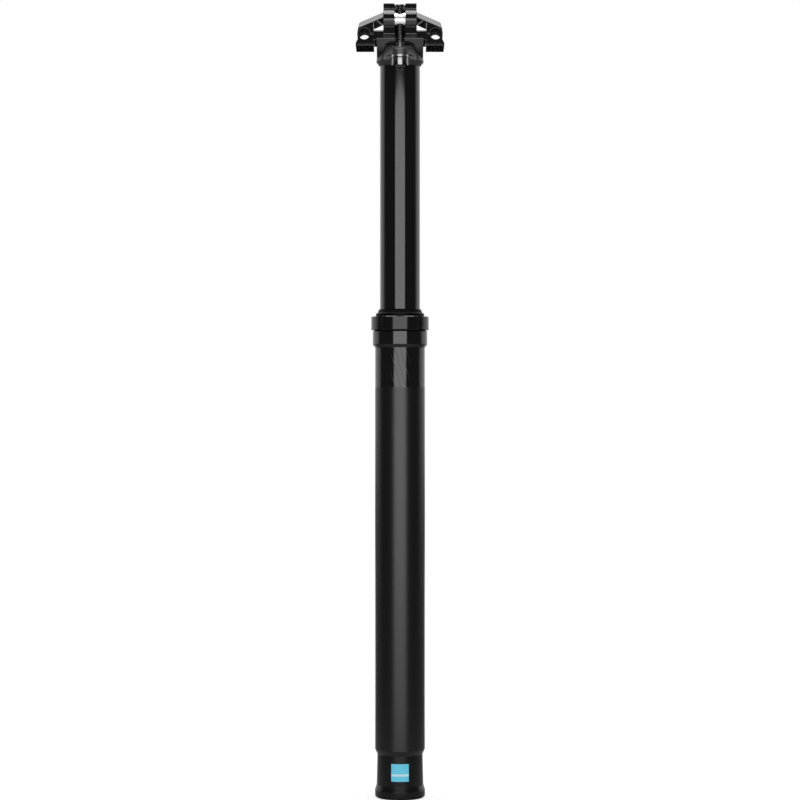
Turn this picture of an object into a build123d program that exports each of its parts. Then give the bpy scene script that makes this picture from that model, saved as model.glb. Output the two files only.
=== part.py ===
from build123d import *
from math import cos, radians, sin, sqrt
import os

# Dropper seatpost: a stanchion with a two-bolt saddle clamp slides in an outer
# tube on a locking gas cartridge, and a cable-pulled lever in the end piece at
# the bottom opens the cartridge's valve. Millimetres, +Z up, the post's axis on
# Z, the underside of the end piece at height zero, the rider's front at -Y.

os.makedirs("parts", exist_ok=True)

# Fits that many pieces share
travel = 150.0
running_gap = 0.05
seat_gap = 0.3
edge_break = 0.4
overrun = 5.0

# Outer tube, and the stanchion that slides in it
tube_diameter = 30.9
tube_wall = 1.95
slide_clearance = 1.1
stanchion_wall = 1.5
foot_chamfer_height = 3.1
head_taper_height = 1.9
head_ring_shoulder = 1.05
head_ring_height = 8.4
head_ring_edge = 0.5
head_wall = 1.0
thread_length = 7.4
foot_clearance = 3.3

# End piece at the bottom, which houses the release gear
flange_height = 4.6
flange_taper_height = 3.2
flange_edge_radius = 1.0
waist_height = 18.9
waist_foot_inset = 1.05
waist_top_inset = 1.45
spigot_length = 10.0
spigot_wall = 3.95
cavity_wall = 2.2
web_thickness = 5.5
hatch_rim = 2.3
hatch_setback = 2.1
window_width = 9.2
window_lintel = 2.6
port_diameter = 5.1
port_depth = 3.4
cable_hole_diameter = 2.0

# Collar
collar_gap = 0.3
nut_wall = 1.95
nut_height = 8.5
nut_lip_height = 1.1
nut_edge = 0.4
notch_count = 4
notch_width = 4.1
notch_depth = 1.0
ring_seal_section = 0.7
ring_seal_height = 1.2
wiper_foot_height = 4.2
wiper_waist_wall = 1.1
wiper_rim_wall = 2.55
wiper_rim_height = 1.7
wiper_rim_taper = 0.8
wiper_lip_height = 2.0
wiper_lip_wall = 0.55

# Bushings and guide keys
bushing_wall = 1.7
bushing_seat_depth = 21.0
bushing_end_gap = 1.1
bushing_split = 1.2
lower_bushing_length = 16.0
lower_bushing_lift = 6.0
lower_groove_depth = 0.4
key_count = 3
key_gap = 4.0
key_width = 3.0
key_length = 8.0
key_play = 0.15
key_pocket_depth = 0.6
keyway_depth = 0.55

# Gas cartridge
clip_lift = 2.0
clip_thickness = 1.2
clip_groove_depth = 0.6
clip_width = 1.5
clip_opening = 6.0
gland_flange_thickness = 3.0
gland_plug_length = 10.0
cartridge_clearance = 0.7
cartridge_wall = 1.5
cap_plug_length = 10.0
cap_flange_thickness = 5.0
valve_boss_diameter = 7.0
valve_boss_height = 2.4
cartridge_head_gap = 0.3
rod_diameter = 8.0
rod_piston_height = 8.0
rod_piston_cover = 1.5
floating_piston_height = 10.0
floating_piston_rim = 3.15
floating_piston_dish_depth = 4.0
oil_height = 1.5
gas_height = 36.35
rod_nut_across_flats = 13.0
rod_nut_height = 5.5

# Release gear
lever_pivot_y = 5.5
lever_pivot_height = 8.4
lever_swing = 24.0
nose_radius = 2.0
nose_link_radius = 1.4
hub_wall = 1.5
hub_side_play = 0.3
cable_arm = 3.8
arm_wall = 1.0
lever_width = 5.0
lever_pin_diameter = 3.0
lever_pin_inset = 0.1
barrel_diameter = 2.8
barrel_length = 7.0
barrel_hole_diameter = 1.4
cable_slot_width = 1.8
release_pin_diameter = 3.0
release_pin_play = 0.25
button_height = 1.5
pin_tip_drop = 0.6
spring_wire = 0.5
spring_play = 0.6
spring_turns = 4

# Clamp head on top of the stanchion
neck_taper_height = 2.8
rocker_radius = 14.3
rocker_floor = 3.9
seat_rim_drop = 7.2
neck_edge = 0.6
head_spigot_length = 22.2
head_spigot_bore = 14.0
bolt_clearance = 5.2
ear_lift = 4.8
ear_tip_margin = 0.3
ear_root_width = 20.0
ear_root_y = 9.0
ear_root_depth = 4.0
ear_tip_thickness = 2.9
ear_brow_thickness = 5.0
ear_brow_reach = 2.0
ear_root_thickness = 7.0
ear_root_sink = 1.8
ear_root_drop = 2.1

# Lower cradle and upper clamp: heights count from the rocker's axis
rail_spacing = 44.0
rail_diameter = 7.0
groove_length = 28.0
parting_gap = 0.3
lip_wall = 0.8
rocker_inset = 7.7
bar_top = 2.2
bar_reach = 0.2
bar_underside_drop = 2.0
bar_edge_radius = 1.4
foot_gap = 1.7
foot_flare = 1.0
foot_flare_drop = 5.9
foot_waist_inset = 0.3
foot_waist_drop = 3.2
foot_drop = 7.2
foot_notch_drop = 3.9
foot_edge = 0.6
prong_wall = 6.9
beam_gap = 0.4
crown_height = 19.3
crown_length = 22.0
crown_face_height = 3.3
crown_channel_depth = 1.2
boss_wall = 1.6
slot_reach = 4.5
skirt_front_reach = 3.5
skirt_gap = 0.9
skirt_drop = 2.2
skirt_edge_radius = 0.8
wing_root_height = 13.5
wing_shoulder_height = 7.2
wing_shoulder_inset = 1.4
wing_brow_height = 3.4
wing_brow_inset = 0.5
wing_shoulder_radius = 1.6
wing_bevel_height = 3.1
wing_bevel_depth = 2.4
arch_root_height = 9.8
arch_end_height = 6.9

# Bolts, washers and cross nuts
bolt_diameter = 6.0
bolt_swing_room = 0.3
bolt_head_rim = 2.1
bolt_head_height = 5.3
washer_play = 0.1
washer_margin = 0.2
washer_thickness = 1.4
spot_face_margin = 0.7
socket_across_flats = 5.0
socket_depth = 3.2
cross_nut_wall = 1.4
cross_nut_recess = 0.2
cross_nut_height = 7.6
cross_nut_play = 0.4

# Radii that fits give, from the tube inwards and from the stanchion outwards
tube_radius = tube_diameter / 2
tube_bore_radius = tube_radius - tube_wall
stanchion_radius = tube_bore_radius - slide_clearance
stanchion_bore_radius = stanchion_radius - stanchion_wall
slide_radius = stanchion_radius + running_gap
bushing_seat_radius = slide_radius + bushing_wall + running_gap
undercut_radius = bushing_seat_radius + head_wall
thread_radius = undercut_radius + ring_seal_section
head_ring_radius = thread_radius + head_ring_shoulder
nut_radius = thread_radius + running_gap + nut_wall
wiper_waist_radius = slide_radius + wiper_waist_wall
waist_foot_radius = tube_radius - waist_foot_inset
waist_top_radius = tube_radius - waist_top_inset
spigot_radius = tube_bore_radius - running_gap
cavity_radius = waist_top_radius - cavity_wall
hatch_radius = cavity_radius - hatch_rim
key_pocket_radius = stanchion_radius - key_pocket_depth
key_thickness = tube_bore_radius + keyway_depth - key_play - key_pocket_radius
cartridge_radius = stanchion_bore_radius - cartridge_clearance
cartridge_bore_radius = cartridge_radius - cartridge_wall
piston_radius = cartridge_bore_radius - running_gap
rod_radius = rod_diameter / 2
rod_bore_radius = release_pin_diameter / 2 + release_pin_play
neck_radius = rocker_radius + seat_gap + running_gap
bolt_offset = rocker_radius + bolt_clearance
bolt_radius = bolt_diameter / 2
bolt_head_radius = bolt_radius + bolt_head_rim
washer_radius = bolt_head_radius + washer_margin
ear_hole_radius = bolt_radius + bolt_swing_room
cross_nut_radius = bolt_radius + cross_nut_wall
boss_radius = cross_nut_radius + boss_wall
rail_radius = rail_diameter / 2
bolt_places = [(0, -bolt_offset), (0, bolt_offset)]

# Heights up the post, from the end piece through the cartridge to the clamp head
tube_foot_z = flange_height + flange_taper_height + waist_height
web_top_z = tube_foot_z + edge_break
web_z = web_top_z - web_thickness
spigot_top_z = tube_foot_z + spigot_length
tube_line_z = tube_foot_z + foot_chamfer_height
stanchion_foot_z = spigot_top_z + foot_clearance + travel
lower_bushing_z = stanchion_foot_z + lower_bushing_lift
key_z = lower_bushing_z + lower_bushing_length + key_gap
clip_z = stanchion_foot_z + clip_lift
gland_z = clip_z + clip_thickness
gland_shoulder_z = gland_z + gland_flange_thickness
gland_top_z = gland_shoulder_z + gland_plug_length
rod_piston_z = gland_top_z + seat_gap
rod_top_z = rod_piston_z + rod_piston_height - rod_piston_cover
floating_piston_z = rod_piston_z + rod_piston_height + travel + oil_height
cap_foot_z = floating_piston_z + floating_piston_height + gas_height
cap_shoulder_z = cap_foot_z + cap_plug_length
cap_top_z = cap_shoulder_z + cap_flange_thickness
neck_z = cap_top_z + valve_boss_height + cartridge_head_gap + head_spigot_length
rocker_z = neck_z + rocker_floor + seat_gap + rocker_radius
ear_underside_z = neck_z + ear_lift

# Heights of the collar, from the stanchion's neck at full travel down to the tube
wiper_top_z = neck_z - travel - seat_gap
wiper_rim_z = wiper_top_z - wiper_lip_height - wiper_rim_taper - wiper_rim_height
nut_top_z = wiper_rim_z - running_gap
nut_z = nut_top_z - nut_height
wiper_foot_z = nut_top_z - nut_lip_height - wiper_foot_height
tube_face_z = nut_z - collar_gap
tube_top_z = tube_face_z + thread_length
bushing_seat_z = tube_top_z - bushing_seat_depth
head_ring_z = tube_face_z - head_ring_height
head_taper_z = head_ring_z - head_taper_height

# Planes through the rocker's axis: one seen from the front, one from the side
clamp_front = Plane((0, 0, rocker_z), x_dir=(1, 0, 0), z_dir=(0, -1, 0))
clamp_side = Plane((0, 0, rocker_z), x_dir=(0, 1, 0), z_dir=(1, 0, 0))


# Outer tube: matt aluminium, with three keyways and a stepped, threaded head
with BuildPart() as outer_tube:
    with BuildSketch(Plane.XZ):
        with BuildLine():
            Polyline(
                (tube_bore_radius, tube_foot_z),
                (waist_top_radius, tube_foot_z),
                (tube_radius, tube_line_z),
                (tube_radius, head_taper_z),
                (head_ring_radius, head_ring_z),
                (head_ring_radius, tube_face_z - head_ring_edge),
                (head_ring_radius - head_ring_edge, tube_face_z),
                (undercut_radius, tube_face_z),
                (undercut_radius, tube_face_z + ring_seal_height),
                (thread_radius, tube_face_z + ring_seal_height),
                (thread_radius, tube_top_z - edge_break),
                (thread_radius - edge_break, tube_top_z),
                (bushing_seat_radius, tube_top_z),
                (bushing_seat_radius, bushing_seat_z),
                (tube_bore_radius, bushing_seat_z),
                close=True,
            )
        make_face()
    revolve(axis=Axis.Z)
    with BuildSketch(Plane.XY.offset(tube_foot_z)):
        with PolarLocations(tube_bore_radius, key_count, start_angle=90):
            Rectangle(2 * keyway_depth, key_width + 2 * running_gap)
    extrude(amount=bushing_seat_z - tube_foot_z, mode=Mode.SUBTRACT)
outer_tube.part.label = "outer_tube"
export_step(outer_tube.part, "parts/outer_tube.step")


# End piece: a turned cup screwed into the tube's foot, open below for the gear
lever_arm = lever_pivot_y
lever_pivot_z = flange_height + lever_pivot_height
cable_y = lever_pivot_y + cable_arm
lever_pin_length = 2 * (sqrt(waist_top_radius**2 - lever_pivot_y**2) - lever_pin_inset)
with BuildPart() as actuator_housing:
    with BuildSketch(Plane.XZ):
        with BuildLine():
            Polyline(
                (0, 0),
                (tube_radius - flange_edge_radius, 0),
                (tube_radius, flange_edge_radius),
                (tube_radius, flange_height),
                (waist_foot_radius, flange_height + flange_taper_height),
                (waist_top_radius, tube_foot_z),
                (spigot_radius, tube_foot_z),
                (spigot_radius, spigot_top_z - edge_break),
                (spigot_radius - edge_break, spigot_top_z),
                (0, spigot_top_z),
                close=True,
            )
        make_face()
    revolve(axis=Axis.Z)
    # Cavity for the lever, and the spigot's own bore above the web
    with BuildSketch(Plane.XY.offset(flange_height)):
        Circle(cavity_radius)
    extrude(amount=web_z - flange_height, mode=Mode.SUBTRACT)
    with BuildSketch(Plane.XY.offset(web_top_z)):
        Circle(spigot_radius - spigot_wall)
    extrude(amount=spigot_length + overrun, mode=Mode.SUBTRACT)
    with BuildSketch(Plane.XY.offset(web_z)):
        Circle(rod_radius)
    extrude(amount=web_thickness, mode=Mode.SUBTRACT)
    # Hatch in the floor through which the gear goes in, beside the cable's bridge
    with BuildSketch(Plane.XY):
        Circle(hatch_radius)
        with Locations((0, lever_pivot_y - hatch_setback)):
            Rectangle(
                2 * hatch_radius,
                2 * hatch_radius,
                align=(Align.CENTER, Align.MIN),
                mode=Mode.SUBTRACT,
            )
    extrude(amount=flange_height, mode=Mode.SUBTRACT)
    # Pocket for the cable casing's end, its cable hole and the slot that loads it
    with BuildSketch(Plane.XY):
        with Locations((0, cable_y)):
            Circle(port_diameter / 2)
    extrude(amount=port_depth, mode=Mode.SUBTRACT)
    with BuildSketch(Plane.XY):
        with Locations((0, cable_y)):
            Circle(cable_hole_diameter / 2)
            Rectangle(
                cable_hole_diameter,
                tube_radius,
                align=(Align.CENTER, Align.MIN),
            )
    extrude(amount=flange_height, mode=Mode.SUBTRACT)
    # Window at the back, over the cable's end
    with BuildSketch(Plane.XZ):
        with Locations((0, flange_height)):
            Rectangle(
                window_width,
                web_z - window_lintel - flange_height,
                align=(Align.CENTER, Align.MIN),
            )
    extrude(amount=-tube_radius, mode=Mode.SUBTRACT)
    with BuildSketch(Plane.YZ):
        with Locations((lever_pivot_y, lever_pivot_z)):
            Circle(lever_pin_diameter / 2)
    extrude(amount=lever_pin_length / 2, both=True, mode=Mode.SUBTRACT)
actuator_housing.part.label = "actuator_housing"
export_step(actuator_housing.part, "parts/actuator_housing.step")


# Collar nut: screwed over the tube's head, with spanner notches down its side
with BuildPart() as collar_nut:
    with BuildSketch(Plane.XZ):
        with BuildLine():
            Polyline(
                (thread_radius + running_gap, nut_z),
                (nut_radius - nut_edge, nut_z),
                (nut_radius, nut_z + nut_edge),
                (nut_radius, nut_top_z - nut_edge),
                (nut_radius - nut_edge, nut_top_z),
                (wiper_waist_radius + running_gap, nut_top_z),
                (wiper_waist_radius + running_gap, nut_top_z - nut_lip_height),
                (thread_radius + running_gap, nut_top_z - nut_lip_height),
                close=True,
            )
        make_face()
    revolve(axis=Axis.Z)
    with BuildSketch(Plane.XY.offset(nut_z)):
        with PolarLocations(nut_radius, notch_count, start_angle=45):
            Rectangle(2 * notch_depth, notch_width)
    extrude(amount=nut_height, mode=Mode.SUBTRACT)
collar_nut.part.label = "collar_nut"
export_step(collar_nut.part, "parts/collar_nut.step")


# Ring seal in the undercut between the nut and the tube's head
with BuildPart() as collar_ring_seal:
    with BuildSketch(Plane.XY.offset(tube_face_z)):
        Circle(thread_radius)
        Circle(undercut_radius, mode=Mode.SUBTRACT)
    extrude(amount=ring_seal_height)
    rims = collar_ring_seal.edges().filter_by(GeomType.CIRCLE).group_by(SortBy.RADIUS)[-1]
    chamfer(rims, ring_seal_section / 3)
collar_ring_seal.part.label = "collar_ring_seal"
export_step(collar_ring_seal.part, "parts/collar_ring_seal.step")


# Wiper seal: one rubber ring that snaps under the nut's lip and wipes the stanchion
bushing_fit_radius = bushing_seat_radius - running_gap
wiper_rim_radius = slide_radius + wiper_rim_wall
wiper_lip_radius = slide_radius + wiper_lip_wall
with BuildPart() as wiper_seal:
    with BuildSketch(Plane.XZ):
        with BuildLine():
            Polyline(
                (slide_radius, wiper_foot_z),
                (bushing_fit_radius, wiper_foot_z),
                (bushing_fit_radius, nut_top_z - nut_lip_height),
                (wiper_waist_radius, nut_top_z - nut_lip_height),
                (wiper_waist_radius, wiper_rim_z),
                (wiper_rim_radius, wiper_rim_z),
                (wiper_rim_radius, wiper_rim_z + wiper_rim_height),
                (
                    wiper_lip_radius + wiper_rim_taper,
                    wiper_rim_z + wiper_rim_height + wiper_rim_taper,
                ),
                (wiper_lip_radius, wiper_top_z),
                (slide_radius, wiper_top_z),
                close=True,
            )
        make_face()
    revolve(axis=Axis.Z)
wiper_seal.part.label = "wiper_seal"
export_step(wiper_seal.part, "parts/wiper_seal.step")


# Upper bushing: a split plastic ring in the tube's head, below the wiper
with BuildPart() as upper_bushing:
    with BuildSketch(Plane.XY.offset(bushing_seat_z)):
        Circle(bushing_fit_radius)
        Circle(slide_radius, mode=Mode.SUBTRACT)
        with Locations((0, slide_radius)):
            Rectangle(bushing_split, 2 * bushing_wall, mode=Mode.SUBTRACT)
    extrude(amount=wiper_foot_z - bushing_end_gap - bushing_seat_z)
upper_bushing.part.label = "upper_bushing"
export_step(upper_bushing.part, "parts/upper_bushing.step")


# Stanchion: a thin tube with a groove for the lower bushing, pockets for the
# guide keys and a groove inside its foot for the clip
clip_groove_radius = stanchion_bore_radius + clip_groove_depth
with BuildPart() as stanchion:
    with BuildSketch(Plane.XY.offset(stanchion_foot_z)):
        Circle(stanchion_radius)
        Circle(stanchion_bore_radius, mode=Mode.SUBTRACT)
    extrude(amount=neck_z - stanchion_foot_z)
    with BuildSketch(Plane.XY.offset(lower_bushing_z)):
        Circle(tube_radius)
        Circle(stanchion_radius - lower_groove_depth, mode=Mode.SUBTRACT)
    extrude(amount=lower_bushing_length, mode=Mode.SUBTRACT)
    with BuildSketch(Plane.XY.offset(clip_z)):
        Circle(clip_groove_radius)
    extrude(amount=clip_thickness, mode=Mode.SUBTRACT)
    with BuildSketch(Plane.XY.offset(key_z)):
        with PolarLocations(key_pocket_radius, key_count, start_angle=90):
            Rectangle(
                2 * key_pocket_depth,
                key_width,
                align=(Align.MIN, Align.CENTER),
            )
    extrude(amount=key_length, mode=Mode.SUBTRACT)
stanchion.part.label = "stanchion"
export_step(stanchion.part, "parts/stanchion.step")


# Lower bushing: a split ring in the groove on the stanchion's foot
with BuildPart() as lower_bushing:
    with BuildSketch(Plane.XY.offset(lower_bushing_z)):
        Circle(tube_bore_radius - running_gap)
        Circle(stanchion_radius - lower_groove_depth, mode=Mode.SUBTRACT)
        with Locations((0, -stanchion_radius)):
            Rectangle(bushing_split, 2 * bushing_wall, mode=Mode.SUBTRACT)
    extrude(amount=lower_bushing_length)
lower_bushing.part.label = "lower_bushing"
export_step(lower_bushing.part, "parts/lower_bushing.step")


# Guide keys: brass blocks that stop the stanchion from turning in the tube
with BuildPart() as guide_keys:
    with BuildSketch(Plane.XY.offset(key_z)):
        with PolarLocations(key_pocket_radius, key_count, start_angle=90):
            Rectangle(key_thickness, key_width, align=(Align.MIN, Align.CENTER))
    extrude(amount=key_length)
guide_keys.part.label = "guide_keys"
export_step(guide_keys.part, "parts/guide_keys.step")


# Cartridge clip: a snap ring in the stanchion's foot that carries the cartridge
with BuildPart() as cartridge_clip:
    with BuildSketch(Plane.XY.offset(clip_z)):
        Circle(clip_groove_radius - running_gap)
        Circle(clip_groove_radius - clip_width, mode=Mode.SUBTRACT)
        with Locations((0, -clip_groove_radius)):
            Rectangle(clip_opening, 2 * clip_width + clip_opening, mode=Mode.SUBTRACT)
    extrude(amount=clip_thickness)
cartridge_clip.part.label = "cartridge_clip"
export_step(cartridge_clip.part, "parts/cartridge_clip.step")


# Cartridge gland: closes the cartridge's foot round the rod
with BuildPart() as cartridge_gland:
    with BuildSketch(Plane.XZ):
        with BuildLine():
            Polyline(
                (rod_radius + running_gap, gland_z),
                (stanchion_bore_radius - running_gap, gland_z),
                (stanchion_bore_radius - running_gap, gland_shoulder_z),
                (cartridge_bore_radius, gland_shoulder_z),
                (cartridge_bore_radius, gland_top_z),
                (rod_radius + running_gap, gland_top_z),
                close=True,
            )
        make_face()
    revolve(axis=Axis.Z)
cartridge_gland.part.label = "cartridge_gland"
export_step(cartridge_gland.part, "parts/cartridge_gland.step")


# Cartridge body: a plain tube between the gland and the cap
with BuildPart() as cartridge_body:
    with BuildSketch(Plane.XY.offset(gland_shoulder_z)):
        Circle(cartridge_radius)
        Circle(cartridge_bore_radius, mode=Mode.SUBTRACT)
    extrude(amount=cap_shoulder_z - gland_shoulder_z)
cartridge_body.part.label = "cartridge_body"
export_step(cartridge_body.part, "parts/cartridge_body.step")


# Cartridge cap: the upper plug, with the boss of its filling valve
with BuildPart() as cartridge_cap:
    with BuildSketch(Plane.XZ):
        with BuildLine():
            Polyline(
                (0, cap_foot_z),
                (cartridge_bore_radius, cap_foot_z),
                (cartridge_bore_radius, cap_shoulder_z),
                (cartridge_radius, cap_shoulder_z),
                (cartridge_radius, cap_top_z - edge_break),
                (cartridge_radius - edge_break, cap_top_z),
                (valve_boss_diameter / 2, cap_top_z),
                (valve_boss_diameter / 2, cap_top_z + valve_boss_height),
                (0, cap_top_z + valve_boss_height),
                close=True,
            )
        make_face()
    revolve(axis=Axis.Z)
cartridge_cap.part.label = "cartridge_cap"
export_step(cartridge_cap.part, "parts/cartridge_cap.step")


# Piston rod: hollow, screwed into the end piece's web and into the piston
with BuildPart() as piston_rod:
    with BuildSketch(Plane.XY.offset(web_z)):
        Circle(rod_radius)
        Circle(rod_bore_radius, mode=Mode.SUBTRACT)
    extrude(amount=rod_top_z - web_z)
piston_rod.part.label = "piston_rod"
export_step(piston_rod.part, "parts/piston_rod.step")


# Rod piston: carries the valve that the release pin opens
with BuildPart() as rod_piston:
    with BuildSketch(Plane.XZ):
        with BuildLine():
            Polyline(
                (rod_radius, rod_piston_z),
                (piston_radius, rod_piston_z),
                (piston_radius, rod_piston_z + rod_piston_height),
                (rod_bore_radius, rod_piston_z + rod_piston_height),
                (rod_bore_radius, rod_top_z),
                (rod_radius, rod_top_z),
                close=True,
            )
        make_face()
    revolve(axis=Axis.Z)
rod_piston.part.label = "rod_piston"
export_step(rod_piston.part, "parts/rod_piston.step")


# Floating piston: parts the oil below it from the gas above it
with BuildPart() as floating_piston:
    with BuildSketch(Plane.XY.offset(floating_piston_z)):
        Circle(piston_radius)
    extrude(amount=floating_piston_height)
    with BuildSketch(Plane.XY.offset(floating_piston_z + floating_piston_height)):
        Circle(piston_radius - floating_piston_rim)
    extrude(amount=-floating_piston_dish_depth, mode=Mode.SUBTRACT)
floating_piston.part.label = "floating_piston"
export_step(floating_piston.part, "parts/floating_piston.step")


# Rod nut: locks the rod above the web
with BuildPart() as rod_nut:
    with BuildSketch(Plane.XY.offset(web_top_z)):
        RegularPolygon(rod_nut_across_flats / 2, 6, major_radius=False)
        Circle(rod_radius, mode=Mode.SUBTRACT)
    extrude(amount=rod_nut_height)
rod_nut.part.label = "rod_nut"
export_step(rod_nut.part, "parts/rod_nut.step")


# Actuator lever, at rest: its nose lies below the release pin's button, and the
# cable pulls its other end down
half_swing = radians(lever_swing / 2)
nose_y = lever_pivot_y - lever_arm * cos(half_swing)
nose_z = lever_pivot_z - lever_arm * sin(half_swing)
barrel_y = lever_pivot_y + cable_arm * cos(half_swing)
barrel_z = lever_pivot_z + cable_arm * sin(half_swing)
hub_radius = lever_pin_diameter / 2 + hub_wall
arm_end_radius = barrel_diameter / 2 + arm_wall
hub_length = 2 * (sqrt(cavity_radius**2 - (lever_pivot_y + hub_radius) ** 2) - hub_side_play)
with BuildPart() as actuator_lever:
    with BuildSketch(Plane.YZ):
        with Locations((nose_y, nose_z), (lever_pivot_y, lever_pivot_z)):
            Circle(nose_link_radius)
        make_hull()
        with Locations((nose_y, nose_z)):
            Circle(nose_radius)
    extrude(amount=lever_width / 2, both=True)
    with BuildSketch(Plane.YZ):
        with Locations((barrel_y, barrel_z)):
            Circle(arm_end_radius)
        with Locations((lever_pivot_y, lever_pivot_z)):
            Circle(hub_radius)
        make_hull()
    extrude(amount=lever_width / 2, both=True)
    with BuildSketch(Plane.YZ):
        with Locations((lever_pivot_y, lever_pivot_z)):
            Circle(hub_radius)
    extrude(amount=hub_length / 2, both=True)
    with BuildSketch(Plane.YZ):
        with Locations((lever_pivot_y, lever_pivot_z)):
            Circle(lever_pin_diameter / 2 + running_gap)
        with Locations((barrel_y, barrel_z)):
            Circle(barrel_diameter / 2)
    extrude(amount=hub_length, both=True, mode=Mode.SUBTRACT)
    with BuildSketch(Plane.XY.offset(barrel_z)):
        with Locations((0, barrel_y)):
            Rectangle(cable_slot_width, 2 * arm_end_radius + edge_break)
    extrude(amount=-2 * arm_end_radius, mode=Mode.SUBTRACT)
actuator_lever.part.label = "actuator_lever"
export_step(actuator_lever.part, "parts/actuator_lever.step")


# Lever pin: a dowel across the end piece
with BuildPart() as lever_pin:
    with BuildSketch(Plane.YZ):
        with Locations((lever_pivot_y, lever_pivot_z)):
            Circle(lever_pin_diameter / 2)
    extrude(amount=lever_pin_length / 2, both=True)
lever_pin.part.label = "lever_pin"
export_step(lever_pin.part, "parts/lever_pin.step")


# Cable barrel: the cross pin that grips the inner cable at the lever's end
with BuildPart() as cable_barrel:
    with BuildSketch(Plane.YZ):
        with Locations((barrel_y, barrel_z)):
            Circle(barrel_diameter / 2)
    extrude(amount=barrel_length / 2, both=True)
    with BuildSketch(Plane.XY.offset(barrel_z)):
        with Locations((0, barrel_y)):
            Circle(barrel_hole_diameter / 2)
    extrude(amount=barrel_diameter, both=True, mode=Mode.SUBTRACT)
cable_barrel.part.label = "cable_barrel"
export_step(cable_barrel.part, "parts/cable_barrel.step")


# Release pin: runs up through the rod to the valve, with a button at its foot
coil_radius = (release_pin_diameter + spring_wire) / 2 + spring_play
button_radius = coil_radius + spring_wire / 2 - edge_break
button_z = nose_z + nose_radius + seat_gap
button_top_z = button_z + button_height
pin_top_z = rod_piston_z + rod_piston_height - pin_tip_drop
with BuildPart() as release_pin:
    with BuildSketch(Plane.XY.offset(button_z)):
        Circle(button_radius)
    extrude(amount=button_height)
    with BuildSketch(Plane.XY.offset(button_z)):
        Circle(release_pin_diameter / 2)
    extrude(amount=pin_top_z - button_z)
release_pin.part.label = "release_pin"
export_step(release_pin.part, "parts/release_pin.step")


# Return spring: a coil round the release pin, between its button and the web
coil_height = web_z - button_top_z - spring_wire - 2 * running_gap
with BuildPart() as return_spring:
    with BuildLine() as coil:
        Helix(
            coil_height / spring_turns,
            coil_height,
            coil_radius,
            center=(0, 0, button_top_z + running_gap + spring_wire / 2),
        )
    with BuildSketch(Plane(coil.line @ 0, z_dir=coil.line % 0)):
        Circle(spring_wire / 2)
    sweep()
return_spring.part.label = "return_spring"
export_step(return_spring.part, "parts/return_spring.step")


# One bolt ear of the clamp head: a rounded triangle seen from above, thicker and
# deeper where it leaves the neck, with a flat seat under the bolt
ear_tip_radius = washer_radius + ear_tip_margin
ear_tip_y = bolt_offset + ear_tip_radius
ear_root_end_y = neck_radius - ear_root_sink
with BuildPart() as front_ear:
    with BuildSketch(Plane.XY.offset(ear_underside_z - ear_root_drop)):
        with Locations((0, -bolt_offset)):
            Circle(ear_tip_radius)
        with Locations((0, -ear_root_y)):
            Rectangle(ear_root_width, ear_root_depth)
        make_hull()
    extrude(amount=ear_root_drop + ear_root_thickness)
    with BuildSketch(Plane.YZ):
        with BuildLine():
            Polyline(
                (0, ear_underside_z - ear_root_drop),
                (-ear_root_end_y, ear_underside_z - ear_root_drop),
                (-bolt_offset + ear_tip_radius, ear_underside_z),
                (-ear_tip_y, ear_underside_z),
                (-ear_tip_y, ear_underside_z + ear_tip_thickness),
                (-bolt_offset - ear_brow_reach, ear_underside_z + ear_brow_thickness),
                (-ear_root_end_y, ear_underside_z + ear_root_thickness),
                (0, ear_underside_z + ear_root_thickness),
                close=True,
            )
        make_face()
    extrude(amount=ear_root_width, both=True, mode=Mode.INTERSECT)


# Clamp head: a forging with a round trough for the cradle, the two ears, and a
# spigot bonded into the stanchion
with BuildPart() as head:
    with BuildSketch(Plane.XZ):
        with BuildLine():
            Polyline(
                (head_spigot_bore / 2, neck_z - head_spigot_length),
                (stanchion_bore_radius - edge_break, neck_z - head_spigot_length),
                (stanchion_bore_radius, neck_z - head_spigot_length + edge_break),
                (stanchion_bore_radius, neck_z),
                (stanchion_radius, neck_z),
                (neck_radius, neck_z + neck_taper_height),
                (neck_radius, rocker_z - seat_rim_drop - neck_edge),
                (neck_radius - neck_edge, rocker_z - seat_rim_drop),
                (0, rocker_z - seat_rim_drop),
                (0, neck_z),
                (head_spigot_bore / 2, neck_z),
                close=True,
            )
        make_face()
    revolve(axis=Axis.Z)
    add(front_ear.part)
    mirror(front_ear.part, about=Plane.XZ)
    with BuildSketch(clamp_side):
        Circle(rocker_radius + seat_gap)
    extrude(amount=2 * neck_radius, both=True, mode=Mode.SUBTRACT)
    with BuildSketch(Plane.XY.offset(ear_underside_z)):
        with Locations(*bolt_places):
            Circle(washer_radius + spot_face_margin)
    extrude(amount=neck_z - ear_underside_z - overrun, mode=Mode.SUBTRACT)
    with BuildSketch(Plane.XY.offset(ear_underside_z)):
        with Locations(*bolt_places):
            Circle(ear_hole_radius)
    extrude(amount=ear_root_thickness + overrun, mode=Mode.SUBTRACT)
head.part.label = "head"
export_step(head.part, "parts/head.step")


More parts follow.
